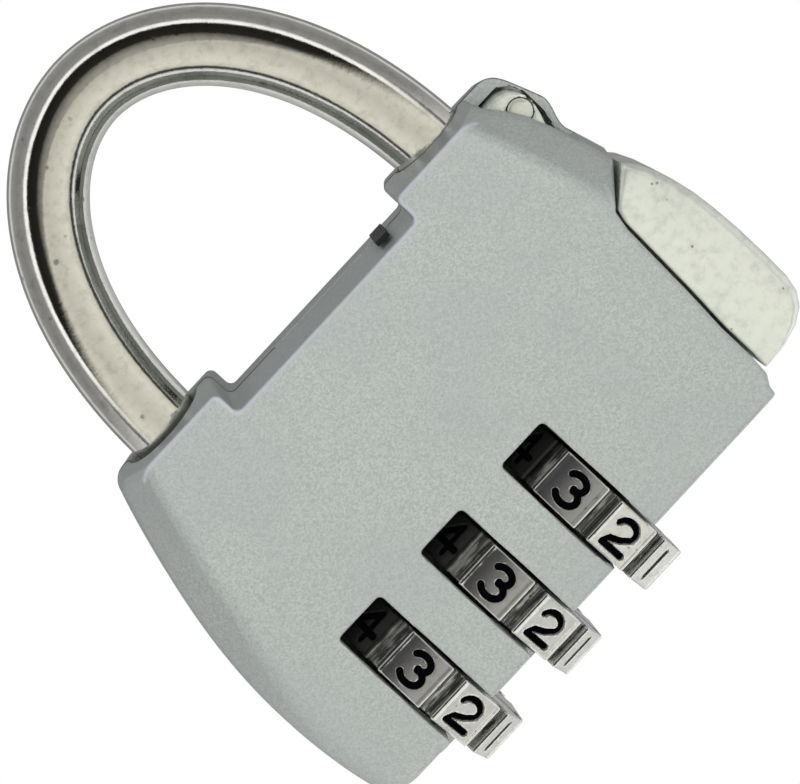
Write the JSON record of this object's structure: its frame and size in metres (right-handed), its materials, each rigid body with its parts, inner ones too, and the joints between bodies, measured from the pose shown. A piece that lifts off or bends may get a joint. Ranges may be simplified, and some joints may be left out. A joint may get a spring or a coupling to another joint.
{
  "type": "luggage combination padlock",
  "caption": "Purse-shaped luggage padlock with a lifting round shackle, a side release lever and number dials in its bottom edge.",
  "frame": {"origin": "centre of the flat rear face of the case", "axes": "+Y is the outward normal of the rear face, +Z points to the shackle, and +X is to the right when the dials' numbers are seen from the front (-Y)"},
  "size_m": [0.035, 0.0129, 0.0416],
  "materials": {
    "case_paint": "fine-grained silver-grey paint over die-cast zinc, satin",
    "chrome": "bright plated, with small pits and specks",
    "dial_metal": "plated, satin flats, black-filled engraved digits",
    "steel": "plain machined",
    "spring_steel": "drawn wire and strip",
    "brass": "turned",
    "black_plastic": "moulded, matt"
  },
  "bodies": {
    "case": {"front_case": "case_paint", "rear_case": "case_paint", "case_rivet_1": "steel", "case_rivet_2": "steel", "case_rivet_3": "steel", "shackle_spring": "spring_steel", "lever_pivot_pin": "chrome", "bar_spring": "spring_steel", "reset_spring": "spring_steel", "detent_strip": "spring_steel"},
    "shackle": {"shackle": "chrome", "heel_stop_ring": "spring_steel"},
    "lever": {"release_lever": "chrome", "catch_spring": "spring_steel"},
    "bar": {"locking_bar": "steel"},
    "dial_1": {"dial_wheel_1": "dial_metal"},
    "dial_2": {"dial_wheel_2": "dial_metal"},
    "dial_3": {"dial_wheel_3": "dial_metal"},
    "carriage": {"dial_axle": "steel", "axle_stop_ring": "spring_steel", "reset_slider": "black_plastic"},
    "sleeve_1": {"code_sleeve_1": "brass"},
    "sleeve_2": {"code_sleeve_2": "brass"},
    "sleeve_3": {"code_sleeve_3": "brass"}
  },
  "joints": [
    {"name": "shackle_lift", "type": "slide", "parent": "case", "child": "shackle", "axis": [0, 0, 1], "range_m": [0, 0.0065], "deforming": ["shackle_spring", "catch_spring"]},
    {"name": "lever_swing", "type": "hinge", "parent": "case", "child": "lever", "pos_m": [0.01455, -0.0067, 0.0092], "axis": [0, -1, 0], "range_deg": [0, 14]},
    {"name": "bar_slide", "type": "slide", "parent": "case", "child": "bar", "axis": [1, 0, 0], "range_m": [0, 0.002], "deforming": ["bar_spring"]},
    {"name": "dial_1_turn", "type": "hinge", "parent": "case", "child": "dial_1", "pos_m": [-0.0102, -0.0068, -0.00715], "axis": [1, 0, 0], "continuous": true, "deforming": ["detent_strip"]},
    {"name": "dial_2_turn", "type": "hinge", "parent": "case", "child": "dial_2", "pos_m": [-0.00406, -0.0068, -0.00715], "axis": [1, 0, 0], "continuous": true},
    {"name": "dial_3_turn", "type": "hinge", "parent": "case", "child": "dial_3", "pos_m": [0.00206, -0.0068, -0.00715], "axis": [1, 0, 0], "continuous": true},
    {"name": "reset_shift", "type": "slide", "parent": "case", "child": "carriage", "axis": [-1, 0, 0], "range_m": [0, 0.00115], "deforming": ["reset_spring"]},
    {"name": "sleeve_1_turn", "type": "hinge", "parent": "carriage", "child": "sleeve_1", "pos_m": [-0.0102, -0.0068, -0.00715], "axis": [1, 0, 0], "continuous": true},
    {"name": "sleeve_2_turn", "type": "hinge", "parent": "carriage", "child": "sleeve_2", "pos_m": [-0.00406, -0.0068, -0.00715], "axis": [1, 0, 0], "continuous": true},
    {"name": "sleeve_3_turn", "type": "hinge", "parent": "carriage", "child": "sleeve_3", "pos_m": [0.00206, -0.0068, -0.00715], "axis": [1, 0, 0], "continuous": true}
  ],
  "couplings": [
    {"joint": "bar_slide", "follows": "lever_swing", "m_per_rad": 0.00809},
    {"joint": "sleeve_1_turn", "follows": "dial_1_turn", "ratio": 1},
    {"joint": "sleeve_2_turn", "follows": "dial_2_turn", "ratio": 1},
    {"joint": "sleeve_3_turn", "follows": "dial_3_turn", "ratio": 1}
  ]
}
